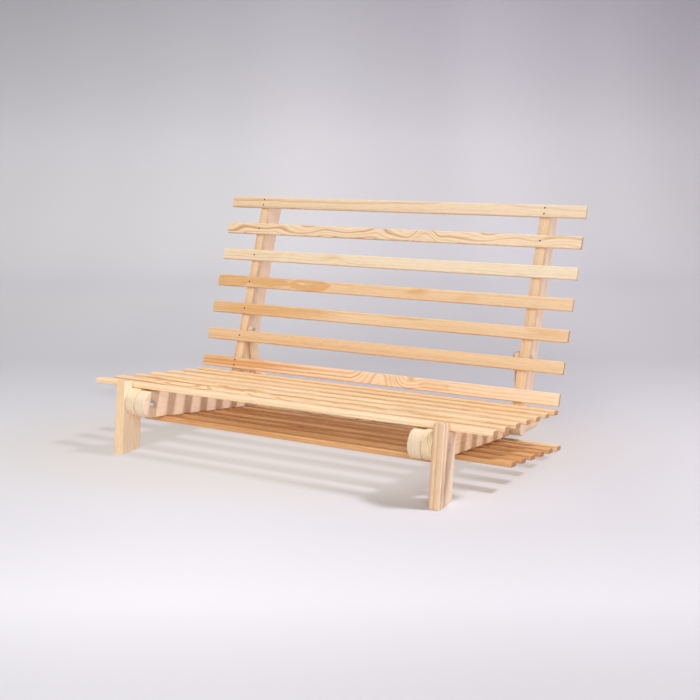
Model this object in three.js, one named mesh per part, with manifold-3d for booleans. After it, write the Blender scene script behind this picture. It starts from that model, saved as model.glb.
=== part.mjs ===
// Slatted sofa bed in pine: a seat, a backrest and a front section, each a ladder of slats on two
// rails, joined by four bolted pivots. Shown as a sofa, with the front section folded under the seat.
// Millimetres, +Z up, +X to the right along the slats, +Y to the back.
import * as THREE from 'three';
import { mergeVertices } from 'three/addons/utils/BufferGeometryUtils.js';
import Module from 'manifold-3d';

const wasm = await Module();
wasm.setup();

// Timber
const slatOverhang = 125;
const slatWidth = 42.5;
const slatThickness = 16;
const slatEase = 4.5;
const slatEndEase = 1.2;
const railDepth = 90;
const timberThickness = 34;
const frontRailDrop = 4;
const frontRailThickness = 40;
const timberEase = 2;
const frameHalfWidth = 575;

// Clearances
const laneGap = 1.5;
const seatGap = 0.3;
const boltGap = 0.3;
const hornGap = 3;
const cutOverrun = 5;

// How the sofa stands
const frontPivotHeight = 164;
const backTilt = 21.06;
const pivotSpacing = 641;
const tailContact = 261.8;
const tailFlat = 15.2;

// Slat rows: where the first slat starts from its pivot, and the gap from slat to slat
const slatsInRow = 7;
const seatSlatStart = -3;
const seatSlatGap = 51.4;
const backSlatStart = 60.1;
const backSlatGap = 62.55;
const shortSlatStart = 60;
const longSlatStart = 173;
const longSlatGap = 47.5;
const screwInset = 11;
const screwPocketRadius = 3.6;
const screwPocketDepth = 2.5;

// Legs, seat rail tails and props
const hornRise = 7;
const tailDrop = 59;
const propReach = 217;
const propOffset = 26;
const propLean = 11.2;
const propThickness = 18;
const propHeadRadius = 15.5;
const propFootWidth = 50;
const propFootEase = 10;
const propHeelEase = 4;
const propTaperLead = 3;
const propFootGap = 1;
const uprightTopInset = 5;
const railEndMargin = 5;

// Bolts and nuts
const boltDiameter = 10;
const hexWidth = 17;
const boltHeadHeight = 5.5;
const nutHeight = 8;
const propBoltDiameter = 8;
const propHexWidth = 13;
const propHeadHeight = 5;
const propNutHeight = 6;
const washerDiameter = 24;
const washerThickness = 2;
const boltTail = 2;
const headRecessRadius = 11;
const headRecessDepth = 8;
const nutRecessRadius = 13;

// Facets
const noseSteps = 30;
const roundSides = 24;
const boltSides = 12;
const hexSides = 6;
const cornerSteps = 4;

// Materials
const pine = { color: 0xe6bf86, roughness: 0.62, metalness: 0 };
const palePine = { color: 0xebcfa9, roughness: 0.65, metalness: 0 };
const zinc = { color: 0xb4b6b8, roughness: 0.35, metalness: 1 };

// Sizes that follow from the ones above
const degrees = Math.PI / 180;
const slatLength = 2 * (frameHalfWidth + slatOverhang);
const seatSlatStep = slatWidth + seatSlatGap;
const backSlatStep = slatWidth + backSlatGap;
const longSlatStep = slatWidth + longSlatGap;
const railHalf = railDepth / 2;
const frontRailDepth = railDepth - frontRailDrop;

// The seat slopes down to the back until the lower edges of its rails' tails reach the floor.
const contactAlong = pivotSpacing + tailContact;
const contactReach = Math.hypot(contactAlong, railHalf);
const seatAngle = Math.atan2(railHalf, contactAlong) - Math.asin(frontPivotHeight / contactReach);
const backAngle = Math.PI / 2 - backTilt * degrees;
const foldAngle = backAngle - seatAngle;
const noseRadius = railHalf - seatGap;
const slatSeat = railHalf + seatGap;
const slatTop = slatSeat + slatThickness;
const legOuter = frameHalfWidth;
const legInner = legOuter - timberThickness;
const seatOuter = legInner - laneGap;
const seatInner = seatOuter - timberThickness;
const frontOuter = seatInner - laneGap;
const frontInner = frontOuter - frontRailThickness;
const propInner = seatOuter - propThickness;
const rearWasherX = seatInner + boltTail + nutHeight + washerThickness;
const longSlatsInRow = slatsInRow - 1;
const frontReach = longSlatStart + (longSlatsInRow - 1) * longSlatStep + slatWidth;
const acrossCorners = 1 / Math.cos(Math.PI / hexSides);
const pivotHardware = {
  shank: boltDiameter / 2,
  bore: boltDiameter / 2 + boltGap,
  hex: (hexWidth / 2) * acrossCorners,
  headHeight: boltHeadHeight,
};
const propHardware = {
  shank: propBoltDiameter / 2,
  bore: propBoltDiameter / 2 + boltGap,
  hex: (propHexWidth / 2) * acrossCorners,
  headHeight: propHeadHeight,
};
const frontNoseRadius = frontRailDepth / 2 - seatGap;
const frontNoseRise = frontRailDepth / 2 - railHalf;

// The front section lies under the seat with the rounded outer edge of its last slat on the floor.
const restAlong = frontReach - slatEase;
const restDown = slatTop - slatEase;
const restSlope = Math.asin((frontPivotHeight - slatEase) / Math.hypot(restAlong, restDown));
const frontAngle = Math.atan2(restDown, restAlong) - restSlope;

// Height above the floor of a point of the seat rail, from the front pivot: along it, and square to it
const heightAt = (along, up) => frontPivotHeight + along * Math.sin(seatAngle) + up * Math.cos(seatAngle);
const floorLine = (along) => (-frontPivotHeight - along * Math.sin(seatAngle)) / Math.cos(seatAngle);

// Where the prop stands: its pivot and its foot, from the rear pivot, in the seat rail's directions
const propPivot = new THREE.Vector2(propReach, propOffset).rotateAround(new THREE.Vector2(), foldAngle);
const propAngle = propLean * degrees - Math.PI / 2 - seatAngle;
const propLength = (propPivot.y - railHalf - propFootGap) / -Math.sin(propAngle);
const propFootAlong = propPivot.x + propLength * Math.cos(propAngle);

// A closed mesh as a solid, and a solid as a mesh
function solidOf(geometry) {
  const bare = geometry.index ? geometry.toNonIndexed() : geometry.clone();
  bare.deleteAttribute('normal');
  bare.deleteAttribute('uv');
  const merged = mergeVertices(bare);
  const vertProperties = merged.attributes.position.array;
  return new wasm.Manifold(new wasm.Mesh({ numProp: 3, vertProperties, triVerts: merged.index.array }));
}

function geometryOf(solid) {
  const mesh = solid.getMesh();
  const geometry = new THREE.BufferGeometry();
  geometry.setAttribute('position', new THREE.BufferAttribute(mesh.vertProperties, 3));
  geometry.setIndex(new THREE.BufferAttribute(mesh.triVerts, 1));
  geometry.computeVertexNormals();
  return geometry;
}

// A board whose outline lies in the Y and Z directions and whose thickness runs along X,
// with its edges eased
function board(outline, fromX, toX, ease) {
  const shape = new THREE.Shape(outline);
  const geometry = new THREE.ExtrudeGeometry(shape, {
    depth: toX - fromX - 2 * ease,
    bevelThickness: ease,
    bevelSize: ease,
    bevelOffset: -ease,
    bevelSegments: 1,
  });
  geometry.translate(0, 0, fromX + ease);
  const axes = new THREE.Matrix4().makeBasis(
    new THREE.Vector3(0, 1, 0),
    new THREE.Vector3(0, 0, 1),
    new THREE.Vector3(1, 0, 0),
  );
  return geometry.applyMatrix4(axes);
}

// A round or many-sided bar along X
function bar(radius, fromX, toX, sides, along = 0, up = 0) {
  const geometry = new THREE.CylinderGeometry(radius, radius, Math.abs(toX - fromX), sides);
  geometry.rotateZ(-Math.PI / 2);
  return geometry.translate((fromX + toX) / 2, along, up);
}

// Points of an arc, counted in turns of the same sense as the angle
function arc(centreX, centreY, radius, fromAngle, toAngle, steps) {
  const points = [];
  for (let i = 0; i <= steps; i += 1) {
    const angle = fromAngle + ((toAngle - fromAngle) * i) / steps;
    points.push(new THREE.Vector2(centreX + radius * Math.cos(angle), centreY + radius * Math.sin(angle)));
  }
  return points;
}

// A slat lies along X; the pockets for its screws are sunk in the face away from the rails.
function slatGeometry(length, screwPlaces, screwRows, faceUp) {
  const half = slatThickness / 2;
  const outline = [
    ...arc(slatWidth - slatEase, half - slatEase, slatEase, 0, Math.PI / 2, cornerSteps),
    ...arc(slatEase, half - slatEase, slatEase, Math.PI / 2, Math.PI, cornerSteps),
    ...arc(slatEase, slatEase - half, slatEase, Math.PI, 1.5 * Math.PI, cornerSteps),
    ...arc(slatWidth - slatEase, slatEase - half, slatEase, 1.5 * Math.PI, 2 * Math.PI, cornerSteps),
  ];
  let slat = solidOf(board(outline, -length / 2, length / 2, slatEndEase));
  const faceSide = faceUp ? 1 : -1;
  for (const x of screwPlaces) {
    for (const row of screwRows) {
      const pocket = new THREE.CylinderGeometry(
        screwPocketRadius,
        screwPocketRadius,
        2 * screwPocketDepth,
        hexSides,
      );
      pocket.rotateX(Math.PI / 2);
      pocket.translate(x, row, faceSide * half);
      slat = slat.subtract(solidOf(pocket));
    }
  }
  return geometryOf(slat);
}

// The first and the last slat of a row have two screws at each end, the others one.
function screwRowsOf(index) {
  const outer = index === 0 || index === slatsInRow - 1;
  return outer ? [screwInset, slatWidth - screwInset] : [slatWidth / 2];
}

function boreThrough(solid, hardware, fromX, toX, along = 0, up = 0) {
  const bore = bar(hardware.bore, fromX - cutOverrun, toX + cutOverrun, boltSides, along, up);
  return solid.subtract(solidOf(bore));
}

function recessIn(solid, radius, fromX, toX, along = 0) {
  return solid.subtract(solidOf(bar(radius, fromX, toX, roundSides, along)));
}

// The point a given way along the line from one point to another
function towards(from, to, way) {
  return from.clone().add(to.clone().sub(from).setLength(way));
}

// Mirrors a right-hand solid for the left side
function handed(solid, side) {
  return side > 0 ? solid : solid.mirror([1, 0, 0]);
}

// Rail outlines run round the timber with the wood on the left.
function noseArc(radius = noseRadius, rise = 0) {
  return arc(0, rise, radius, Math.PI / 2, 1.5 * Math.PI, noseSteps);
}

// The seat rail runs on behind the rear pivot. Its top edge tapers behind the prop's foot, so that
// the folded prop lies clear above it, and its toe is cut level on the floor.
function seatRailOutline() {
  const tapered = pivotSpacing + propFootAlong + propFootWidth / 2 + propTaperLead;
  const tailEnd = contactAlong + tailFlat;
  return [
    ...noseArc(),
    new THREE.Vector2(railHalf, -railHalf),
    new THREE.Vector2(contactAlong, -railHalf),
    new THREE.Vector2(tailEnd, floorLine(tailEnd)),
    new THREE.Vector2(tailEnd, railHalf - tailDrop),
    new THREE.Vector2(tapered, railHalf),
    new THREE.Vector2(railHalf, railHalf),
  ];
}

function seatRail(side) {
  let rail = solidOf(board(seatRailOutline(), seatInner, seatOuter, timberEase));
  rail = boreThrough(rail, pivotHardware, seatInner, seatOuter);
  rail = boreThrough(rail, pivotHardware, seatInner, seatOuter, pivotSpacing);
  rail = recessIn(rail, nutRecessRadius, seatInner - cutOverrun, rearWasherX + boltGap, pivotSpacing);
  return geometryOf(handed(rail, side));
}

function frontRail(side) {
  const end = frontReach + railEndMargin;
  const topEdge = frontRailDepth - railHalf;
  const outline = [
    ...noseArc(frontNoseRadius, frontNoseRise),
    new THREE.Vector2(railHalf, -railHalf),
    new THREE.Vector2(end, -railHalf),
    new THREE.Vector2(end, topEdge),
    new THREE.Vector2(railHalf, topEdge),
  ];
  let rail = solidOf(board(outline, frontInner, frontOuter, timberEase));
  rail = boreThrough(rail, pivotHardware, frontInner, frontOuter);
  return geometryOf(handed(rail, side));
}

function upright(side) {
  const top = backSlatStart + (slatsInRow - 1) * backSlatStep + slatWidth - uprightTopInset;
  const outline = [
    ...noseArc(),
    new THREE.Vector2(railHalf, -railHalf),
    new THREE.Vector2(top, -railHalf),
    new THREE.Vector2(top, railHalf),
    new THREE.Vector2(railHalf, railHalf),
  ];
  let post = solidOf(board(outline, legInner, legOuter, timberEase));
  post = boreThrough(post, pivotHardware, legInner, legOuter);
  post = recessIn(post, headRecessRadius, legOuter - headRecessDepth, legOuter + cutOverrun);
  post = boreThrough(post, propHardware, legInner, legOuter, propReach, propOffset);
  return geometryOf(handed(post, side));
}

// A leg stands square to the seat rail on a foot cut level. Its horn rises in front of the first
// slat, and behind the horn the top is round about the pivot, so that the leg can fold back.
function leg(side) {
  const hornTop = slatTop + hornRise;
  const hornRear = seatSlatStart - hornGap;
  const hornFoot = Math.acos(hornRear / noseRadius);
  const outline = [
    new THREE.Vector2(-railHalf, hornTop),
    new THREE.Vector2(-railHalf, floorLine(-railHalf)),
    new THREE.Vector2(railHalf, floorLine(railHalf)),
    new THREE.Vector2(railHalf, 0),
    ...arc(0, 0, noseRadius, 0, hornFoot, noseSteps / 2),
    new THREE.Vector2(hornRear, hornTop),
  ];
  let post = solidOf(board(outline, legInner, legOuter, timberEase));
  post = boreThrough(post, pivotHardware, legInner, legOuter);
  post = recessIn(post, headRecessRadius, legOuter - headRecessDepth, legOuter + cutOverrun);
  return geometryOf(handed(post, side));
}

// A prop hangs from its pivot by a round head and widens to a foot cut parallel to the seat rail.
// It is drawn in the seat rail's directions, from its pivot.
function prop(side) {
  const footUp = railHalf + propFootGap - propPivot.y;
  const footAlong = propFootAlong - propPivot.x;
  const front = new THREE.Vector2(footAlong - propFootWidth / 2, footUp);
  const back = new THREE.Vector2(footAlong + propFootWidth / 2, footUp);
  const reachOf = (corner) => Math.acos(propHeadRadius / corner.length());
  const frontTangent = front.angle() - reachOf(front) + 2 * Math.PI;
  const backTangent = back.angle() + reachOf(back);
  const head = arc(0, 0, propHeadRadius, backTangent, frontTangent, noseSteps);
  const outline = [
    towards(front, head[head.length - 1], propFootEase),
    towards(front, back, propFootEase),
    towards(back, front, propHeelEase),
    towards(back, head[0], propHeelEase),
    ...head,
  ];
  let strut = solidOf(board(outline, propInner, seatOuter, timberEase));
  strut = boreThrough(strut, propHardware, propInner, seatOuter);
  return geometryOf(handed(strut, side));
}

// A hexagon-headed bolt along X, given by its head's outer face and the end of its shank
function bolt(side, hardware, headX, endX) {
  const rise = Math.sign(endX - headX) * hardware.headHeight;
  const head = bar(hardware.hex, headX, headX + rise, hexSides);
  const shank = bar(hardware.shank, headX + rise / 2, endX, boltSides);
  return geometryOf(handed(solidOf(head).add(solidOf(shank)), side));
}

function nut(side, hardware, fromX, toX) {
  const hexagon = solidOf(bar(hardware.hex, fromX, toX, hexSides));
  return geometryOf(handed(boreThrough(hexagon, hardware, fromX, toX), side));
}

function washer(side, fromX) {
  const toX = fromX + washerThickness;
  const disc = solidOf(bar(washerDiameter / 2, fromX, toX, roundSides));
  return geometryOf(handed(boreThrough(disc, pivotHardware, fromX, toX), side));
}

function piece(group, name, geometry, finish) {
  const mesh = new THREE.Mesh(geometry, new THREE.MeshStandardMaterial(finish));
  mesh.name = name;
  group.add(mesh);
  return mesh;
}

function slatRow(group, prefix, starts, faceUp, seat, screwX, lengths) {
  starts.forEach((start, index) => {
    const slat = slatGeometry(lengths[index], [-screwX, screwX], screwRowsOf(index), faceUp);
    const mesh = piece(group, prefix + '_slat_' + (index + 1), slat, pine);
    mesh.position.set(0, start, (faceUp ? 1 : -1) * (seat + slatThickness / 2));
  });
}

// Places where each slat of a row starts
const rowOf = (start, step, count) => Array.from({ length: count }, (unused, i) => start + i * step);
const sides = [
  ['left', -1],
  ['right', 1],
];

function seatSection() {
  const seat = new THREE.Group();
  seat.position.set(0, 0, frontPivotHeight);
  seat.rotation.x = seatAngle;
  const starts = rowOf(seatSlatStart, seatSlatStep, slatsInRow);
  const railMiddle = (seatInner + seatOuter) / 2;
  slatRow(seat, 'seat', starts, true, slatSeat, railMiddle, starts.map(() => slatLength));
  for (const [word, side] of sides) {
    piece(seat, 'seat_rail_' + word, seatRail(side), palePine);
    frontPivot(seat, word, side);
    rearPivot(seat, word, side);
  }
  return seat;
}

// The front pivot's bolt runs from the leg's recess through both rails to a washer and a nut.
function frontPivot(seat, word, side) {
  const headX = legOuter - headRecessDepth + boltHeadHeight + boltGap;
  const washerX = frontInner - boltGap;
  const nutX = washerX - washerThickness - boltGap;
  const endX = nutX - nutHeight - boltTail;
  piece(seat, 'front_pivot_bolt_' + word, bolt(side, pivotHardware, headX, endX), zinc);
  piece(seat, 'front_pivot_washer_' + word, washer(side, washerX - washerThickness), zinc);
  piece(seat, 'front_pivot_nut_' + word, nut(side, pivotHardware, nutX - nutHeight, nutX), zinc);
}

// The rear pivot's nut lies in a recess of the seat rail, clear of the folded front section.
function rearPivot(seat, word, side) {
  const headX = legOuter - headRecessDepth + boltHeadHeight + boltGap;
  const nutX = rearWasherX - washerThickness - boltGap;
  const endX = nutX - nutHeight - boltTail / 2;
  const pieces = [
    piece(seat, 'rear_pivot_bolt_' + word, bolt(side, pivotHardware, headX, endX), zinc),
    piece(seat, 'rear_pivot_washer_' + word, washer(side, rearWasherX - washerThickness), zinc),
    piece(seat, 'rear_pivot_nut_' + word, nut(side, pivotHardware, nutX - nutHeight, nutX), zinc),
  ];
  for (const mesh of pieces) mesh.position.y = pivotSpacing;
}

function frontSection() {
  const front = new THREE.Group();
  front.position.set(0, 0, frontPivotHeight);
  front.rotation.x = frontAngle;
  const longStarts = rowOf(longSlatStart, longSlatStep, longSlatsInRow);
  const starts = [shortSlatStart, ...longStarts];
  const shortLength = 2 * (legInner - 2 * laneGap);
  const lengths = [shortLength, ...longStarts.map(() => slatLength)];
  const railMiddle = (frontInner + frontOuter) / 2;
  slatRow(front, 'front', starts, false, slatSeat, railMiddle, lengths);
  for (const [word, side] of sides) {
    piece(front, 'front_rail_' + word, frontRail(side), palePine);
  }
  return front;
}

function legs() {
  const pair = new THREE.Group();
  pair.position.set(0, 0, frontPivotHeight);
  pair.rotation.x = seatAngle;
  for (const [word, side] of sides) piece(pair, 'leg_' + word, leg(side), palePine);
  return pair;
}

function backrest() {
  const back = new THREE.Group();
  back.position.set(0, ...onSeatRail(pivotSpacing, 0));
  back.rotation.x = backAngle;
  const starts = rowOf(backSlatStart, backSlatStep, slatsInRow);
  const postMiddle = (legInner + legOuter) / 2;
  slatRow(back, 'back', starts, true, slatSeat, postMiddle, starts.map(() => slatLength));
  for (const [word, side] of sides) {
    piece(back, 'back_upright_' + word, upright(side), palePine);
    const headX = propInner - propHeadHeight - boltGap;
    const nutX = legOuter + boltGap;
    const endX = nutX + propNutHeight + boltTail;
    const pieces = [
      piece(back, 'prop_bolt_' + word, bolt(side, propHardware, headX, endX), zinc),
      piece(back, 'prop_nut_' + word, nut(side, propHardware, nutX, nutX + propNutHeight), zinc),
    ];
    for (const mesh of pieces) mesh.position.set(0, propReach, propOffset);
  }
  return back;
}

function props() {
  const pair = new THREE.Group();
  pair.position.set(0, ...onSeatRail(pivotSpacing + propPivot.x, propPivot.y));
  pair.rotation.x = seatAngle;
  for (const [word, side] of sides) piece(pair, 'prop_' + word, prop(side), palePine);
  return pair;
}

// The Y and Z of a point given along the seat rail from the front pivot, and square to it
function onSeatRail(along, up) {
  const y = along * Math.cos(seatAngle) - up * Math.sin(seatAngle);
  return [y, heightAt(along, up)];
}

const sofaBed = new THREE.Group();
sofaBed.add(seatSection(), frontSection(), legs(), backrest(), props());

// The origin lies on the floor under the middle of the sofa.
const extent = new THREE.Box3().setFromObject(sofaBed, true);
sofaBed.position.y = -(extent.min.y + extent.max.y) / 2;

export default sofaBed;
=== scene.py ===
import math

import bpy
from mathutils import Matrix, Vector


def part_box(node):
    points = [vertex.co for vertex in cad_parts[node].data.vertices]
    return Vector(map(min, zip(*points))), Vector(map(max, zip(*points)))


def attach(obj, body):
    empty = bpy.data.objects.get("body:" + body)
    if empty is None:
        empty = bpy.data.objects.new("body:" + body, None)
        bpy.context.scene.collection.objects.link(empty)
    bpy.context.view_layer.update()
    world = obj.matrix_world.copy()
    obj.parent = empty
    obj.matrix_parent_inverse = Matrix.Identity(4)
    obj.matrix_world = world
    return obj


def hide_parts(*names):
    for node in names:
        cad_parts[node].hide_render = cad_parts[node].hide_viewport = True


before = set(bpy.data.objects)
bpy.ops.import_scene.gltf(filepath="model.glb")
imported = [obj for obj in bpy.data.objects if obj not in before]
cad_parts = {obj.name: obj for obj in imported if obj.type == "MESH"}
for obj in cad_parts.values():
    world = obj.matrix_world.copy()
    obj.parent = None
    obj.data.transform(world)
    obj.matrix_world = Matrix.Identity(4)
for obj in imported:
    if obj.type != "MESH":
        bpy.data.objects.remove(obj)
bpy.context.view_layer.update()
print("frame loaded:", len(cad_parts), "nodes")


# Small helpers


def deselectAll():
    bpy.ops.object.select_all(action="DESELECT")


def takeActive(piece):
    deselectAll()
    piece.select_set(True)
    bpy.context.view_layer.objects.active = piece


def boxCentre(node):
    low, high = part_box(node)
    return (low + high) / 2


def toLinear(levels):
    shares = [level / 255 for level in levels]
    return tuple(((share + 0.055) / 1.055) ** 2.4 if share > 0.04045 else share / 12.92 for share in shares)


def mathNode(tree, operation, *values):
    node = tree.nodes.new("ShaderNodeMath")
    node.operation = operation
    for socket, value in zip(node.inputs, values):
        if isinstance(value, (int, float)):
            socket.default_value = value
        else:
            tree.links.new(value, socket)
    return node.outputs[0]


def noiseNode(tree, vector, detail, roughness=0.5):
    node = tree.nodes.new("ShaderNodeTexNoise")
    node.inputs["Scale"].default_value = 1.0
    node.inputs["Detail"].default_value = detail
    node.inputs["Roughness"].default_value = roughness
    tree.links.new(vector, node.inputs["Vector"])
    return node.outputs[0]


def stretched(tree, place, factors, seed):
    node = tree.nodes.new("ShaderNodeCombineXYZ")
    for socket, value, factor in zip(node.inputs, place, factors):
        tree.links.new(mathNode(tree, "MULTIPLY_ADD", value, factor, seed), socket)
    return node.outputs[0]


def distanceNode(tree, first, second):
    squares = [mathNode(tree, "POWER", value, 2) for value in (first, second)]
    return mathNode(tree, "SQRT", mathNode(tree, "ADD", *squares))


def rampNode(tree, value, stops, easing="LINEAR"):
    node = tree.nodes.new("ShaderNodeValToRGB")
    ramp = node.color_ramp
    ramp.interpolation = easing
    while len(ramp.elements) < len(stops):
        ramp.elements.new(0.5)
    for element, (position, colour) in zip(ramp.elements, stops):
        element.position = position
        element.color = (*colour, 1) if isinstance(colour, tuple) else (colour, colour, colour, 1)
    tree.links.new(value, node.inputs[0])
    return node.outputs[0]


def mixNode(tree, factor, first, second, blend="MIX"):
    node = tree.nodes.new("ShaderNodeMix")
    node.data_type = "RGBA"
    node.blend_type = blend
    for socket, value in ((node.inputs[0], factor), (node.inputs[6], first), (node.inputs[7], second)):
        if isinstance(value, (int, float)):
            socket.default_value = value
        elif isinstance(value, tuple):
            socket.default_value = (*value, 1)
        else:
            tree.links.new(value, socket)
    return node.outputs[2]


# The directions of the three slatted sections come from the middles of their slats.
rows = {
    "seat": {"body": "seat", "rail": "seat_rail_right", "faceUp": 1},
    "front": {"body": "front_section", "rail": "front_rail_right", "faceUp": -1},
    "back": {"body": "backrest", "rail": "back_upright_right", "faceUp": 1},
}
slatsInRow = 7
slatLength = 1.4
slatWidth = 0.0425
slatThickness = 0.016

for word, row in rows.items():
    first, last = boxCentre(word + "_slat_2"), boxCentre(word + "_slat_7")
    row["along"] = (last - first).normalized()
    row["tilt"] = math.atan2(row["along"].z, row["along"].y)
    row["face"] = Vector((0, -row["along"].z, row["along"].y)) * row["faceUp"]


# Pine, worked out as a solid: growth rings round a pith line outside the board, bent where the wood
# grew round a branch, with thin amber late wood, amber stains and fine fibres along the board.

slatPine = {
    "pale": toLinear((247, 220, 184)),
    "honey": toLinear((230, 185, 131)),
    "line": toLinear((190, 136, 80)),
    "end": toLinear((168, 118, 74)),
    "endTone": 0.85,
    "endContrast": 0.35,
    "side": toLinear((247, 220, 184)),
    "paintedSideShare": 0.0,
}

# the backrest's slats are a little deeper in tone; the front section's slats, under the seat, get redder,
# darker colours, partly their own wood and partly painted shade
backPine = {**slatPine, "pale": toLinear((241, 215, 183)), "honey": toLinear((220, 173, 120))}
amberShadedPine = {
    **slatPine,
    "pale": toLinear((222, 175, 123)),
    "honey": toLinear((193, 134, 78)),
    "line": toLinear((164, 100, 52)),
    "end": toLinear((156, 106, 66)),
}

framePine = {
    "pale": toLinear((243, 219, 189)),
    "honey": toLinear((229, 190, 150)),
    # the side faces, along ±X, are mixed towards this side colour: painted light and shade, for how the
    # lamps fall on those faces
    "side": toLinear((233, 206, 183)),
    "paintedSideShare": 0.8,
    "line": toLinear((202, 146, 96)),
    "end": toLinear((219, 202, 176)),
    "endTone": 0.80,
    "endContrast": 0.60,
}

surface = {
    "roughness": 0.58,
    "fibreDepth": 0.0003,
    "fibreStrength": 0.2,
    "fibreShade": 0.93,
    "fibreStops": (0.32, 0.60),
    "mottleShade": (0.95, 0.905, 0.83),
    "mottleStops": (0.30, 0.54),
    "mottleRoughness": 0.6,
    "endStops": (0.45, 0.92),
    "leastStrength": 0.2,
    "strengthSpread": 1.6,
}

# The figure of a board that has none of its own. pith: where it lies, across and through the board.
# ring: the width of a growth ring. wander, flow and ripple: how far the rings stray, from slow to quick.
# crowding: how uneven the rings are. contrast: the strength of the lines, and fade: their share of it
# at the board's right end. tone: the share of honey, with its slope along the board and its patches.
# swells and stains: places along and across the board, their half length and half width, and the rise
# or strength there, and for a stain whether it has a rim.
plainFigure = {
    "pith": (0.045, -0.055),
    "ring": 0.0055,
    "wander": 0.016,
    "flow": 0.004,
    "ripple": 0.0012,
    "crowding": 2.6,
    "contrast": 0.55,
    "fade": 0.75,
    "tone": 0.35,
    "toneSlope": -0.12,
    "patch": 0.9,
    "swells": [],
    "stains": [],
}

# the backrest's slats have a falling toneSlope, paler towards the right end: partly the wood's own tone and
# partly painted light from the key lamp on the right
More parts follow.
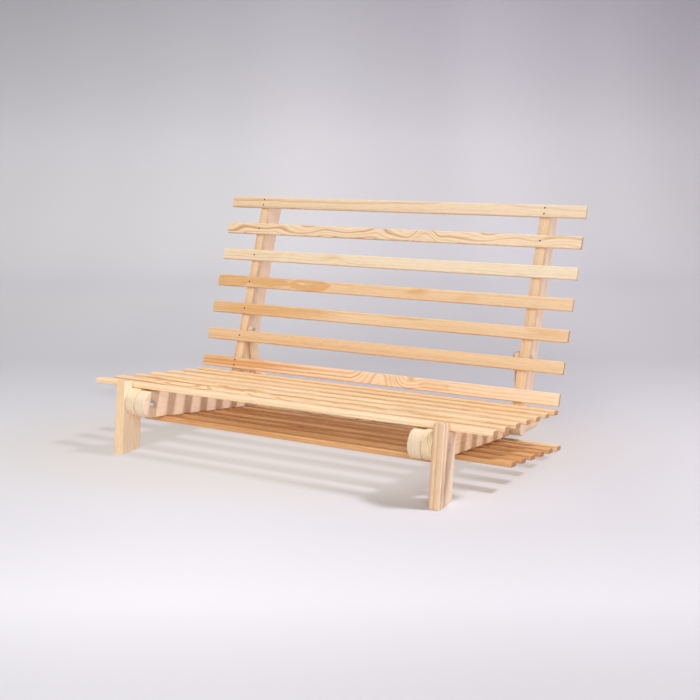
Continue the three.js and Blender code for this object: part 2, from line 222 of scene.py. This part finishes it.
slatFigures = {
    "back_slat_7": {
        "pale": toLinear((237, 216, 189)), "end": toLinear((206, 168, 132)), "tone": 0.14, "contrast": 0.70,
        "ring": 0.0064, "pith": (0.05, -0.05), "patch": 0.4, "fade": 0.4, "flow": 0.010, "toneSlope": -0.25,
    },
    "back_slat_6": {
        "pale": toLinear((243, 219, 191)), "line": toLinear((180, 127, 72)), "tone": 0.08, "contrast": 0.9,
        "fade": 0.6, "ring": 0.0056, "pith": (0.03, -0.05), "patch": 0.5, "flow": 0.034, "crowding": 1.8,
        "swells": [(0.135, 0.0, 0.045, 0.06, 0.018)],
        "stains": [(0.60, 0.010, 0.11, 0.004, 0.7, False), (0.135, 0.010, 0.03, 0.010, 0.35, False)],
    },
    "back_slat_5": {
        "pale": toLinear((239, 223, 198)), "end": toLinear((206, 168, 132)), "tone": 0.14, "contrast": 0.50,
        "ring": 0.0070, "patch": 0.4, "fade": 0.5, "flow": 0.012,
        "swells": [(-0.205, 0.0, 0.05, 0.05, 0.014)],
        "stains": [(-0.22, 0.006, 0.06, 0.016, 0.35, False), (-0.55, 0.004, 0.14, 0.010, 0.25, False)],
    },
    "back_slat_4": {
        "end": toLinear((190, 146, 108)), "tone": 0.36, "contrast": 0.30, "ring": 0.0085, "patch": 0.5,
        "toneSlope": -0.10, "fade": 0.5, "swells": [(-0.33, 0.0, 0.05, 0.05, 0.014)],
        "stains": [
            (-0.640, 0.002, 0.075, 0.024, 0.75, True), (-0.47, 0.003, 0.13, 0.026, 1.0, False),
            (-0.292, 0.001, 0.080, 0.024, 1.1, True), (-0.335, 0.006, 0.060, 0.010, -0.8, False),
            (0.145, 0.006, 0.055, 0.018, 0.60, False), (0.33, -0.004, 0.05, 0.016, 0.35, False),
        ],
    },
    "back_slat_3": {
        "tone": 0.38, "contrast": 0.34, "ring": 0.0072, "toneSlope": -0.10, "fade": 0.5,
        "stains": [
            (-0.50, 0.0, 0.36, 0.040, 0.62, False), (-0.25, 0.012, 0.26, 0.007, 0.35, False),
            (0.12, 0.013, 0.09, 0.006, 0.55, False), (0.63, 0.008, 0.09, 0.015, 0.35, False),
        ],
    },
    "back_slat_2": {
        "tone": 0.48, "contrast": 0.66, "fade": 0.40, "ring": 0.0044, "pith": (0.10, -0.05), "patch": 0.4,
        "wander": 0.006,
    },
    "back_slat_1": {
        "pale": toLinear((247, 218, 188)), "line": toLinear((212, 150, 92)), "tone": 0.06, "contrast": 1.7,
        "fade": 0.12, "ring": 0.0100, "pith": (0.07, -0.05), "wander": 0.012, "patch": 0.4,
        "toneSlope": -0.40,
        "swells": [(0.055, 0.022, 0.085, 0.075, 0.060), (0.155, -0.004, 0.06, 0.04, -0.022)],
        "stains": [
            (0.175, 0.014, 0.022, 0.012, 0.9, False), (0.10, 0.0, 0.04, 0.022, 0.3, False),
            (0.26, 0.0, 0.055, 0.018, 0.5, True), (-0.50, 0.006, 0.34, 0.014, 0.90, False),
            (-0.55, -0.008, 0.30, 0.012, 0.50, False),
        ],
    },
    "seat_slat_1": {
        "tone": 0.12, "contrast": 0.42, "ring": 0.0070, "pith": (0.02, -0.055),
        "swells": [(-0.40, 0.0, 0.12, 0.03, 0.014), (-0.10, 0.0, 0.10, 0.03, -0.012)],
    },
    "seat_slat_2": {
        "line": toLinear((210, 150, 84)), "tone": 0.26, "toneSlope": 0.08, "contrast": 1.3, "ring": 0.0080,
        "pith": (0.01, -0.055), "fade": 0.9,
        "swells": [
            (-0.42, 0.004, 0.10, 0.03, 0.014), (-0.22, 0.0, 0.09, 0.03, -0.014),
            (0.05, 0.0, 0.09, 0.03, 0.012), (0.45, 0.006, 0.12, 0.03, -0.008),
        ],
        "stains": [(-0.36, 0.004, 0.14, 0.012, 0.6, False), (0.42, 0.0, 0.12, 0.012, 0.4, False)],
    },
    "seat_slat_3": {
        "line": toLinear((208, 148, 84)), "tone": 0.28, "toneSlope": 0.1, "contrast": 1.2, "ring": 0.0075,
        "swells": [(-0.25, 0.0, 0.12, 0.03, 0.016), (0.35, 0.0, 0.10, 0.03, 0.014)],
        "stains": [(-0.42, 0.0, 0.16, 0.014, 0.5, False)],
    },
    "seat_slat_4": {
        "tone": 0.24, "toneSlope": 0.1, "contrast": 0.7,
        "stains": [(-0.45, 0.0, 0.2, 0.012, 0.6, False)],
    },
    "seat_slat_5": {
        "tone": 0.42, "toneSlope": 0.1, "contrast": 0.6,
        "stains": [(-0.2, 0.0, 0.3, 0.012, 0.3, False)],
    },
    "seat_slat_6": {
        "tone": 0.52, "toneSlope": 0.1, "contrast": 0.6,
        "stains": [(0.0, 0.0, 0.4, 0.012, 0.3, False)],
    },
    "seat_slat_7": {
        "tone": 0.72, "toneSlope": 0.1, "contrast": 0.6,
        "stains": [(0.3, 0.0, 0.3, 0.012, 0.4, False)],
    },
    "front_slat_1": {"tone": 0.40},
    "front_slat_2": {"tone": 0.40, "contrast": 0.8, "patch": 1.4},
    "front_slat_3": {"tone": 0.60, "contrast": 0.8, "patch": 1.4},
    "front_slat_4": {"tone": 0.36, "contrast": 0.8, "patch": 1.4},
    "front_slat_5": {"tone": 0.64, "contrast": 0.8, "patch": 1.4},
    "front_slat_6": {"tone": 0.40, "contrast": 0.8, "patch": 1.4},
    "front_slat_7": {
        "pale": toLinear((240, 210, 165)), "honey": toLinear((214, 170, 118)), "tone": 0.30,
        "contrast": 0.95, "ring": 0.0062,
        "swells": [(-0.1, 0.0, 0.12, 0.03, 0.014), (0.4, 0.0, 0.12, 0.03, -0.012)],
    },
}

straightFigure = {
    "pith": (0.10, -0.16),
    "ring": 0.0048,
    "wander": 0.004,
    "flow": 0.0,
    "ripple": 0.0005,
    "crowding": 2.0,
    "contrast": 0.50,
    "fade": 1.0,
    "tone": 0.28,
    "toneSlope": 0.0,
    "patch": 0.6,
    "swells": [],
    "stains": [],
}

seatTilt, frontTilt, backTilt = rows["seat"]["tilt"], rows["front"]["tilt"], rows["back"]["tilt"]
legTilt = seatTilt - math.pi / 2
propTilt = math.radians(-78)
# each timber's side colour paints light and shade on its side faces: lighter on the left leg and left rail,
# a darker amber, like shade, on the right seat rail
frameFigures = {
    "seat_rail_left": {
        "body": "seat", "tilt": seatTilt, "pale": toLinear((243, 212, 176)),
        "side": toLinear((248, 211, 173)), "end": toLinear((227, 214, 191)), "pith": (0.03, 0.20),
        "ring": 0.0070, "contrast": 0.24, "tone": 0.3,
    },
    "seat_rail_right": {
        "body": "seat", "tilt": seatTilt, "side": toLinear((233, 193, 156)),
        "line": toLinear((170, 127, 82)), "end": toLinear((229, 206, 167)), "pith": (0.08, 0.19),
        "ring": 0.0068, "contrast": 0.34, "crowding": 0.6, "endContrast": 1.0,
    },
    "leg_left": {
        "body": "leg_left", "tilt": legTilt, "pale": toLinear((241, 211, 174)),
        "side": toLinear((251, 230, 206)), "pith": (0.20, 0.10), "ring": 0.0060, "contrast": 0.20,
        "tone": 0.24,
    },
    "leg_right": {
        "body": "leg_right", "tilt": legTilt, "pale": toLinear((229, 205, 178)),
        "honey": toLinear((222, 180, 134)), "pith": (0.03, 0.10), "ring": 0.0120, "contrast": 1.0,
        "tone": 0.26, "wander": 0.003, "crowding": 2.4,
    },
    "front_rail_left": {
        "body": "front_section", "tilt": frontTilt, "end": toLinear((227, 214, 191)), "pith": (0.01, 0.20),
        "ring": 0.0062, "contrast": 0.28, "tone": 0.2, "endContrast": 0.40,
    },
    "front_rail_right": {
        "body": "front_section", "tilt": frontTilt, "pith": (-0.01, -0.22), "ring": 0.0062,
        "contrast": 0.30, "tone": 0.2, "endContrast": 0.30,
    },
    "back_upright_left": {
        "body": "backrest", "tilt": backTilt, "pale": toLinear((240, 210, 172)), "pith": (0.16, 0.01),
        "ring": 0.0060, "contrast": 0.5, "tone": 0.1,
    },
    "back_upright_right": {
        "body": "backrest", "tilt": backTilt, "pith": (0.01, 0.14), "ring": 0.0042, "contrast": 0.9,
        "tone": 0.45,
    },
    "prop_left": {"body": "prop_left", "tilt": propTilt, "ring": 0.0050, "tone": 0.3},
    "prop_right": {"body": "prop_right", "tilt": propTilt, "ring": 0.0050, "tone": 0.3},
}

# Each waver of the grain: how fast it changes along, across and through the board, its own seed, and its
# detail. The one for crowding changes with the count of rings.
wavers = {
    "aside": ((2.2, 3.0, 3.0), 0, 1.5),
    "depth": ((1.6, 2.0, 2.0), 17, 1.5),
    "flow": ((7.0, 12.0, 12.0), 23, 0.5),
    "ripple": ((9.0, 40.0, 40.0), 5, 2.0),
    "crowding": ((0.31, 0.31, 0.31), 0, 1.5),
    "patch": ((2.4, 14.0, 14.0), 43, 2.5),
    "stainAlong": ((14.0, 60.0, 1.0), 61, 1.5),
    "stainAcross": ((14.0, 25.0, 1.0), 67, 1.5),
    "strength": ((3.0, 16.0, 16.0), 31, 2.0),
    "fibre": ((18.0, 700.0, 700.0), 3, 2.0),
    "mottle": ((32.0, 120.0, 120.0), 71, 3.0),
}

# How the strength runs across a ring, whose late wood rises slowly and ends sharply, and from the middle
# of a swell or stain out to reach times its half size. A rimmed stain is darkest at its edge.
curves = {
    "ring": [(0.0, 0.10), (0.12, 0.0), (0.50, 0.10), (0.78, 0.60), (0.90, 1.0), (1.0, 0.12)],
    "ringLeast": 0.25,
    "ringSpread": 1.0,
    "swell": [(0.0, 1.0), (0.75, 0.0)],
    "stain": [(0.0, 1.0), (0.62, 0.0)],
    "rimmed": [(0.0, 0.6), (0.34, 0.75), (0.43, 1.0), (0.48, 0.7), (0.56, 0.0)],
    "shakeAlong": 0.07,
    "shakeAcross": 0.014,
    "reach": 2.0,
}


def waverNoise(tree, place, name, seed, roughness=0.5):
    factors, ownSeed, detail = wavers[name]
    return noiseNode(tree, stretched(tree, place, factors, seed + ownSeed), detail, roughness)


def strayed(tree, place, name, seed, amount):
    # a smooth waver about zero
    noise = waverNoise(tree, place, name, seed)
    return mathNode(tree, "MULTIPLY_ADD", noise, amount, -amount / 2)


def ownPlace(tree, centre, tilt, alongX):
    # a point in the board's own terms, along, across and through it, and how far the surface faces
    # along the board and through it
    coords = tree.nodes.new("ShaderNodeTexCoord")
    moved = tree.nodes.new("ShaderNodeVectorMath")
    moved.operation = "SUBTRACT"
    moved.inputs[1].default_value = centre
    tree.links.new(coords.outputs["Object"], moved.inputs[0])
    parts = []
    for vector in (moved.outputs[0], coords.outputs["Normal"]):
        turned = tree.nodes.new("ShaderNodeVectorRotate")
        turned.rotation_type = "X_AXIS"
        turned.inputs["Angle"].default_value = -tilt
        tree.links.new(vector, turned.inputs["Vector"])
        split = tree.nodes.new("ShaderNodeSeparateXYZ")
        tree.links.new(turned.outputs[0], split.inputs[0])
        parts.append(tuple(split.outputs))
    if alongX:
        return parts[0], parts[1][0], parts[1][2]
    through, along, across = parts[0]
    return (along, across, through), parts[1][1], parts[1][0]


def spotMask(tree, place, spot, curve, easing="EASE"):
    # how much a point belongs to a spot
    middle, aside, halfLength, halfWidth = spot
    away = mathNode(tree, "MULTIPLY_ADD", place[0], 1 / halfLength, -middle / halfLength)
    off = mathNode(tree, "MULTIPLY_ADD", place[1], 1 / halfWidth, -aside / halfWidth)
    share = mathNode(tree, "MULTIPLY", distanceNode(tree, away, off), 1 / curves["reach"])
    return rampNode(tree, share, curve, easing)


def ringLines(tree, place, figure, seed):
    # late wood: uneven rings of uneven strength round the pith
    wander = figure["wander"]
    aside = mathNode(tree, "ADD", place[1], strayed(tree, place, "aside", seed, wander))
    aside = mathNode(tree, "SUBTRACT", aside, figure["pith"][0])
    depth = mathNode(tree, "ADD", place[2], strayed(tree, place, "depth", seed, 2 * wander))
    depth = mathNode(tree, "SUBTRACT", depth, figure["pith"][1])
    depth = mathNode(tree, "ADD", depth, strayed(tree, place, "flow", seed, figure["flow"]))
    for *spot, rise in figure["swells"]:
        bump = spotMask(tree, place, spot, curves["swell"])
        depth = mathNode(tree, "ADD", depth, mathNode(tree, "MULTIPLY", bump, rise))
    ripple = strayed(tree, place, "ripple", seed, figure["ripple"])
    radius = mathNode(tree, "ADD", distanceNode(tree, aside, depth), ripple)
    turns = mathNode(tree, "DIVIDE", radius, figure["ring"])
    turns = mathNode(tree, "ADD", turns, strayed(tree, [turns] * 3, "crowding", seed, figure["crowding"]))
    own = tree.nodes.new("ShaderNodeTexWhiteNoise")
    own.noise_dimensions = "1D"
    tree.links.new(mathNode(tree, "ADD", mathNode(tree, "FLOOR", turns), seed), own.inputs["W"])
    chance = own.outputs["Value"]
    strength = mathNode(tree, "MULTIPLY_ADD", chance, curves["ringSpread"], curves["ringLeast"])
    line = rampNode(tree, mathNode(tree, "FRACT", turns), curves["ring"])
    return mathNode(tree, "MULTIPLY", line, strength)


def stainTone(tree, place, figure, seed):
    # the share of honey at a point, with its patches and stains
    tone = strayed(tree, place, "patch", seed, figure["patch"])
    # the slope along the board; where a board grows paler towards its right end, as on the backrest, it
    # partly paints in the light falling from the right
    sloped = mathNode(tree, "MULTIPLY_ADD", place[0], figure["toneSlope"], figure["tone"])
    tone = mathNode(tree, "ADD", tone, sloped)
    if figure["stains"]:
        shaken = strayed(tree, place, "stainAlong", seed, curves["shakeAlong"])
        along = mathNode(tree, "ADD", place[0], shaken)
        shaken = strayed(tree, place, "stainAcross", seed, curves["shakeAcross"])
        across = mathNode(tree, "ADD", place[1], shaken)
    for *spot, strength, rimmed in figure["stains"]:
        curve, easing = (curves["rimmed"], "LINEAR") if rimmed else (curves["stain"], "EASE")
        mask = spotMask(tree, (along, across), spot, curve, easing)
        tone = mathNode(tree, "ADD", tone, mathNode(tree, "MULTIPLY", mask, strength))
    tone.node.use_clamp = True
    return tone


def pineMaterial(name, centre, tilt, alongX, board, seed):
    material = bpy.data.materials.new(name)
    material.use_nodes = True
    tree = material.node_tree
    shader = tree.nodes["Principled BSDF"]
    place, endFacing, sideFacing = ownPlace(tree, centre, tilt, alongX)
    lines = ringLines(tree, place, board, seed)
    ground = mixNode(tree, stainTone(tree, place, board, seed), board["pale"], board["honey"])
    # side faces are mixed towards the side colour: painted light and shade for how the lamps fall on them
    paintedSideMix = mathNode(tree, "MULTIPLY", mathNode(tree, "ABSOLUTE", sideFacing), board["paintedSideShare"])
    ground = mixNode(tree, paintedSideMix, ground, board["side"])
    fade = board["fade"]
    faded = mathNode(tree, "MULTIPLY_ADD", place[0], (fade - 1) / slatLength, (fade + 1) / 2)
    uneven = waverNoise(tree, place, "strength", seed)
    uneven = mathNode(tree, "MULTIPLY_ADD", uneven, surface["strengthSpread"], surface["leastStrength"])
    strength = mathNode(tree, "MULTIPLY", mathNode(tree, "MULTIPLY", lines, faded), uneven)
    grained = mixNode(tree, mathNode(tree, "MULTIPLY", strength, board["contrast"]), ground, board["line"])

    # sawn or rounded ends show the rings end on
    endStart, endFull = surface["endStops"]
    endShare = rampNode(tree, mathNode(tree, "ABSOLUTE", endFacing), [(endStart, 0.0), (endFull, 1.0)])
    endLines = mathNode(tree, "MULTIPLY", lines, board["endContrast"])
    endWood = mixNode(tree, endLines, board["end"], board["line"])
    endShare = mathNode(tree, "MULTIPLY", endShare, board["endTone"])
    wood = mixNode(tree, endShare, grained, endWood)

    # fine fibres, and a soft mottling between them
    fibre = waverNoise(tree, place, "fibre", seed)
    fibreDark, fibreLight = surface["fibreStops"]
    shade = rampNode(tree, fibre, [(fibreDark, surface["fibreShade"]), (fibreLight, 1.0)])
    mottle = waverNoise(tree, place, "mottle", seed, surface["mottleRoughness"])
    mottleDark, mottleLight = surface["mottleStops"]
    mottled = rampNode(tree, mottle, [(mottleDark, surface["mottleShade"]), (mottleLight, 1.0)])
    shade = mixNode(tree, 1.0, shade, mottled, "MULTIPLY")
    tree.links.new(mixNode(tree, 1.0, wood, shade, "MULTIPLY"), shader.inputs["Base Color"])
    shader.inputs["Roughness"].default_value = surface["roughness"]
    bump = tree.nodes.new("ShaderNodeBump")
    bump.inputs["Strength"].default_value = surface["fibreStrength"]
    bump.inputs["Distance"].default_value = surface["fibreDepth"]
    tree.links.new(fibre, bump.inputs["Height"])
    tree.links.new(bump.outputs[0], shader.inputs["Normal"])
    return material


mergeDistance = 0.00002
smoothAngle = math.radians(32)
slatSeeds = {"number": 11.3, "row": 97.0}
timberSeeds = {"first": 5.0, "step": 7.7}


def dressTimber(node, body, material):
    # a copy of the node with its loose triangles joined; round edges shade smoothly, broad faces stay flat
    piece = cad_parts[node].copy()
    piece.data = piece.data.copy()
    piece.name = node + "_wood"
    bpy.context.collection.objects.link(piece)
    takeActive(piece)
    bpy.ops.object.mode_set(mode="EDIT")
    bpy.ops.mesh.select_all(action="SELECT")
    bpy.ops.mesh.remove_doubles(threshold=mergeDistance)
    bpy.ops.object.mode_set(mode="OBJECT")
    bpy.ops.object.shade_smooth_by_angle(angle=smoothAngle)
    bpy.ops.object.modifier_add(type="WEIGHTED_NORMAL")
    piece.modifiers[-1].keep_sharp = True
    bpy.ops.object.modifier_apply(modifier=piece.modifiers[-1].name)
    piece.data.materials.clear()
    piece.data.materials.append(material)
    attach(piece, body)
    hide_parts(node)


def buildSlats():
    pines = {"seat": slatPine, "front": amberShadedPine, "back": backPine}
    for rowIndex, (word, row) in enumerate(rows.items()):
        for number in range(1, slatsInRow + 1):
            node = f"{word}_slat_{number}"
            seed = slatSeeds["number"] * number + slatSeeds["row"] * rowIndex
            board = {**pines[word], **plainFigure, **slatFigures[node]}
            material = pineMaterial(node + "_pine", boxCentre(node), row["tilt"], True, board, seed)
            dressTimber(node, row["body"], material)
    print("slats dressed")


def buildFrameTimbers():
    for index, (node, own) in enumerate(frameFigures.items()):
        board = {**framePine, **straightFigure, **own}
        seed = timberSeeds["first"] + timberSeeds["step"] * index
        material = pineMaterial(node + "_pine", boxCentre(node), board["tilt"], False, board, seed)
        dressTimber(node, board["body"], material)
    print("rails, legs, uprights and props dressed")


# Bolts, washers, nuts and slat screws

zincTones = {
    "light": toLinear((232, 232, 230)),
    "dark": toLinear((198, 198, 197)),
    "stops": (0.3, 0.6),
    "detail": 3.0,
    "roughness": 0.48,
    "grain": 400.0,
}

screw = {
    "radius": 0.0033,
    "height": 0.0014,
    "bevel": 0.0004,
    "upFacing": 0.9,
    "recess": 0.0009,
    "recessRim": 0.3,
    "recessTaper": 0.7,
    # the recess colour is painted shade: near black in the drive recesses, and over the whole head of the
    # shaded copies
    "recessPaintedShade": (0.035, 0.022, 0.014),
    "recessRoughness": 0.8,
    "inset": 0.011,
    "sunkShaded": 0.0011,
    "sunkLit": 0.0001,
    "litUpTo": 5,
    "sides": 20,
}


def zincMaterial():
    material = bpy.data.materials.new("zinc_plate")
    material.use_nodes = True
    tree = material.node_tree
    shader = tree.nodes["Principled BSDF"]
    place = tree.nodes.new("ShaderNodeTexCoord").outputs["Object"]
    scale = tree.nodes.new("ShaderNodeVectorMath")
    scale.operation = "SCALE"
    scale.inputs["Scale"].default_value = zincTones["grain"]
    tree.links.new(place, scale.inputs[0])
    mottled = noiseNode(tree, scale.outputs[0], zincTones["detail"])
    darkest, lightest = zincTones["stops"]
    colour = rampNode(tree, mottled, [(darkest, zincTones["dark"]), (lightest, zincTones["light"])])
    tree.links.new(colour, shader.inputs["Base Color"])
    shader.inputs["Metallic"].default_value = 1.0
    shader.inputs["Roughness"].default_value = zincTones["roughness"]
    return material


# a near black for the drive recesses and the shaded heads: painted shade
def recessShadeMaterial():
    material = bpy.data.materials.new("screw_recess_painted_shade")
    material.use_nodes = True
    shader = material.node_tree.nodes["Principled BSDF"]
    shader.inputs["Base Color"].default_value = (*screw["recessPaintedShade"], 1)
    shader.inputs["Roughness"].default_value = screw["recessRoughness"]
    return material


def buildHardware(zinc):
    for name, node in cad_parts.items():
        if any(word in name for word in ("bolt", "washer", "nut")):
            node.data.materials.clear()
            node.data.materials.append(zinc)
    print("bolts, washers and nuts finished")


def modelScrewHead(zinc):
    deselectAll()
    bpy.ops.mesh.primitive_cylinder_add(
        vertices=screw["sides"], radius=screw["radius"], depth=screw["height"]
    )
    head = bpy.context.active_object
    head.data.materials.append(zinc)
    head.data.materials.append(recessShadeMaterial())
    bpy.ops.object.mode_set(mode="EDIT")
    bpy.ops.mesh.select_mode(type="FACE")
    bpy.ops.mesh.select_all(action="DESELECT")
    bpy.ops.object.mode_set(mode="OBJECT")
    for face in head.data.polygons:
        face.select = face.normal.z > screw["upFacing"]
    bpy.ops.object.mode_set(mode="EDIT")
    bpy.ops.mesh.inset(thickness=screw["bevel"])
    bpy.ops.mesh.inset(thickness=screw["radius"] * screw["recessRim"])
    bpy.ops.mesh.extrude_region_move(TRANSFORM_OT_translate={"value": (0, 0, -screw["recess"])})
    bpy.ops.transform.resize(value=(screw["recessTaper"], screw["recessTaper"], 1))
    # the drive's faces take the near black: painted shade in the recess
    head.active_material_index = 1
    bpy.ops.object.material_slot_assign()
    bpy.ops.object.mode_set(mode="OBJECT")
    return head


def screwHead(head, row, middle, side, share, litCopy):
    sunk = screw["sunkLit"] if litCopy else screw["sunkShaded"]
    place = middle + row["along"] * share * (slatWidth / 2 - screw["inset"])
    place += row["face"] * ((slatThickness - screw["height"]) / 2 - sunk)
    place.x = side * boxCentre(row["rail"]).x
    copy = head.copy()
    copy.data = head.data.copy()
    # a lit copy is zinc all over, even in its drive; a shaded copy is near black all over: painted shade
    # for a head that looks dark
    zinc, recess = head.data.materials
    if litCopy:
        copy.data.materials[1] = zinc
    else:
        copy.data.materials[0] = recess
    turn = row["face"].to_track_quat("Z", "Y").to_matrix().to_4x4()
    copy.data.transform(Matrix.Translation(place) @ turn)
    bpy.context.collection.objects.link(copy)
    return copy


def buildScrews(zinc):
    head = modelScrewHead(zinc)
    for word, row in rows.items():
        heads = []
        for number in range(1, slatsInRow + 1):
            middle = boxCentre(f"{word}_slat_{number}")
            shares = (-1, 1) if number in (1, slatsInRow) else (0,)
            for side in (-1, 1):
                # heads on the right of the first slats are lit copies, the rest are shaded copies with
                # painted shade
                litCopy = side > 0 and number <= screw["litUpTo"]
                heads += [screwHead(head, row, middle, side, share, litCopy) for share in shares]
        deselectAll()
        for copy in heads:
            copy.select_set(True)
        bpy.context.view_layer.objects.active = heads[0]
        bpy.ops.object.join()
        heads[0].name = word + "_slat_screws"
        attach(heads[0], row["body"])
    bpy.data.objects.remove(head)
    print("slat screws set")


# The camera

camera = {
    "place": (1.64086, -3.012615, 1.00138),
    "yaw": -28.139,
    "pitch": -11.442,
    "roll": -0.133,
    "lens": 53.53,
    "sensor": 36.0,
    "farEnd": 60.0,
}


def buildCamera():
    data = bpy.data.cameras.new("view")
    data.lens = camera["lens"]
    data.sensor_width = camera["sensor"]
    data.clip_end = camera["farEnd"]
    eye = bpy.data.objects.new("view", data)
    eye.location = camera["place"]
    turn = Matrix.Rotation(math.radians(-camera["yaw"]), 4, "Z")
    turn @= Matrix.Rotation(math.radians(90 + camera["pitch"]), 4, "X")
    turn @= Matrix.Rotation(math.radians(camera["roll"]), 4, "Z")
    eye.rotation_euler = turn.to_euler()
    bpy.context.collection.objects.link(eye)
    bpy.context.scene.camera = eye


# The studio: a paper sweep square to the camera, lit by a key lamp from the right and behind, a wide
# fill from the front, and pale air. The paper's tone, and its blue, are given by the way from the
# camera, and a share of it by the way aside, with a tint from left to right: this is painted light,
# for how the lamps fall over the paper. Before the seat is a pool where the paper glows by itself,
# in part and warm, so that it takes little shade.

studio = {
    "nearEnd": -2.0,
    "bendStart": 7.5,
    "bendRadius": 2.5,
    "length": 18.0,
    "halfWidth": 9.0,
    "drop": 0.0005,
    "steps": 180,
    "stepsAside": 4,
    "roughness": 0.95,
    "span": 13.0,
    "gain": 0.775,
    # the paper's tones along, and their shares aside below, paint in how the light falls over the sweep
    "tones": [
        (0.0, 205, 205), (1.8, 233, 233), (2.15, 251, 251), (2.6, 239, 239), (3.3, 230, 230),
        (4.0, 217, 217), (4.7, 204, 204), (6.5, 210, 209), (9.5, 207, 208), (10.5, 207, 211),
        (12.0, 198, 207), (13.0, 188, 199),
    ],
    "asideSpan": 4.0,
    "aside": [
        (-4.0, 0.70), (-3.0, 0.83), (-2.2, 0.875), (-1.2, 0.94), (-0.4, 1.01), (0.5, 0.945), (0.75, 0.935),
        (1.2, 0.98), (2.2, 0.885), (3.2, 0.76),
    ],
    "pool": {
        "way": 3.38, "aside": -0.15, "halfWay": 0.74, "halfAside": 1.35, "share": 0.82,
        "tint": (1.0, 0.94, 0.88), "lit": 1.26, "curve": [(0.0, 1.0), (0.25, 0.9), (0.5, 0.0)],
    },
    "leftTint": (1.0, 0.985, 0.985),
    "rightTint": (1.0, 0.955, 0.99),
    "tintReach": 1.5,
    "airColour": (1.0, 0.93, 0.82),
    "airStrength": 0.25,
    "keyStrength": 2.6,
    "keyAngle": 10.0,
    "keyColour": (0.97, 0.985, 1.115),
    "keyFrom": (0.62, 0.32, 1.0),
    "fillStrength": 2.35,
    "fillAngle": 60.0,
    "fillColour": (1.0, 0.99, 0.95),
    "fillFrom": (0.32, -0.82, 0.47),
}


def buildSweep():
    deselectAll()
    steps, stepsAside = studio["steps"], studio["stepsAside"]
    bpy.ops.mesh.primitive_grid_add(x_subdivisions=stepsAside, y_subdivisions=steps, size=1)
    sweep = bpy.context.active_object
    sweep.name = "studio_sweep"
    start, radius = studio["bendStart"], studio["bendRadius"]
    quarter = math.pi / 2
    turn = Matrix.Rotation(math.radians(-camera["yaw"]), 3, "Z")
    for vertex in sweep.data.vertices:
        run = (vertex.co.y + 0.5) * studio["length"] + studio["nearEnd"]
        angle = max(0.0, min((run - start) / radius, quarter))
        ahead = min(run, start) + radius * math.sin(angle)
        height = radius * (1 - math.cos(angle)) + max(0.0, run - start - radius * quarter)
        spot = turn @ Vector((vertex.co.x * 2 * studio["halfWidth"], ahead, 0))
        vertex.co = spot + Vector((camera["place"][0], camera["place"][1], height - studio["drop"]))
    bpy.ops.object.shade_smooth()
    sweep.data.materials.append(paperMaterial())
    print("studio sweep in place")


def paperMaterial():
    material = bpy.data.materials.new("studio_paper")
    material.use_nodes = True
    tree = material.node_tree
    shader = tree.nodes["Principled BSDF"]
    place = tree.nodes.new("ShaderNodeTexCoord").outputs["Object"]
    moved = tree.nodes.new("ShaderNodeVectorMath")
    moved.operation = "SUBTRACT"
    moved.inputs[1].default_value = (camera["place"][0], camera["place"][1], 0)
    tree.links.new(place, moved.inputs[0])
    turned = tree.nodes.new("ShaderNodeVectorRotate")
    turned.rotation_type = "Z_AXIS"
    turned.inputs["Angle"].default_value = math.radians(camera["yaw"])
    tree.links.new(moved.outputs[0], turned.inputs["Vector"])
    split = tree.nodes.new("ShaderNodeSeparateXYZ")
    tree.links.new(turned.outputs[0], split.inputs[0])
    ahead = mathNode(tree, "ADD", split.outputs[1], split.outputs[2])
    way = mathNode(tree, "DIVIDE", ahead, studio["span"])
    # the paper's colour, along and aside, and its tint: painted light for how the lamps fall over the sweep
    stops = []
    for distance, level, blue in studio["tones"]:
        tone = tuple(part * studio["gain"] for part in toLinear((level, level, blue)))
        stops.append((distance / studio["span"], tone))
    along = rampNode(tree, way, stops)
    aside = mathNode(tree, "MULTIPLY_ADD", split.outputs[0], 0.5 / studio["asideSpan"], 0.5)
    asideStops = [(0.5 + 0.5 * x / studio["asideSpan"], share) for x, share in studio["aside"]]
    across = rampNode(tree, aside, asideStops, "EASE")
    reach = 0.5 * studio["tintReach"] / studio["asideSpan"]
    tint = rampNode(tree, aside, [(0.5 - reach, studio["leftTint"]), (0.5 + reach, studio["rightTint"])])
    paper = mixNode(tree, 1.0, mixNode(tree, 1.0, along, across, "MULTIPLY"), tint, "MULTIPLY")

    pool = studio["pool"]
    spot = (pool["way"], pool["aside"], pool["halfWay"], pool["halfAside"])
    glow = spotMask(tree, (ahead, split.outputs[0]), spot, pool["curve"])
    glow = mathNode(tree, "MULTIPLY", glow, pool["share"])
    tree.links.new(mixNode(tree, glow, paper, (0.0, 0.0, 0.0)), shader.inputs["Base Color"])
    tree.links.new(mixNode(tree, 1.0, paper, pool["tint"], "MULTIPLY"), shader.inputs["Emission Color"])
    tree.links.new(mathNode(tree, "MULTIPLY", glow, pool["lit"]), shader.inputs["Emission Strength"])
    shader.inputs["Roughness"].default_value = studio["roughness"]
    shader.inputs["Specular IOR Level"].default_value = 0.0
    return material


def addSun(name):
    data = bpy.data.lights.new(name, "SUN")
    data.energy = studio[name + "Strength"]
    data.angle = math.radians(studio[name + "Angle"])
    data.color = studio[name + "Colour"]
    lamp = bpy.data.objects.new(name, data)
    lamp.rotation_euler = Vector(studio[name + "From"]).to_track_quat("Z", "Y").to_euler()
    bpy.context.collection.objects.link(lamp)


def buildLights():
    world = bpy.data.worlds.new("studio_air")
    world.use_nodes = True
    air = world.node_tree.nodes["Background"]
    air.inputs[0].default_value = (*studio["airColour"], 1)
    air.inputs[1].default_value = studio["airStrength"]
    bpy.context.scene.world = world
    addSun("key")
    addSun("fill")
    bpy.context.scene.view_settings.view_transform = "Standard"
    print("lamps and air set")


zinc = zincMaterial()
buildSlats()
buildFrameTimbers()
buildHardware(zinc)
buildScrews(zinc)
buildCamera()
buildSweep()
buildLights()
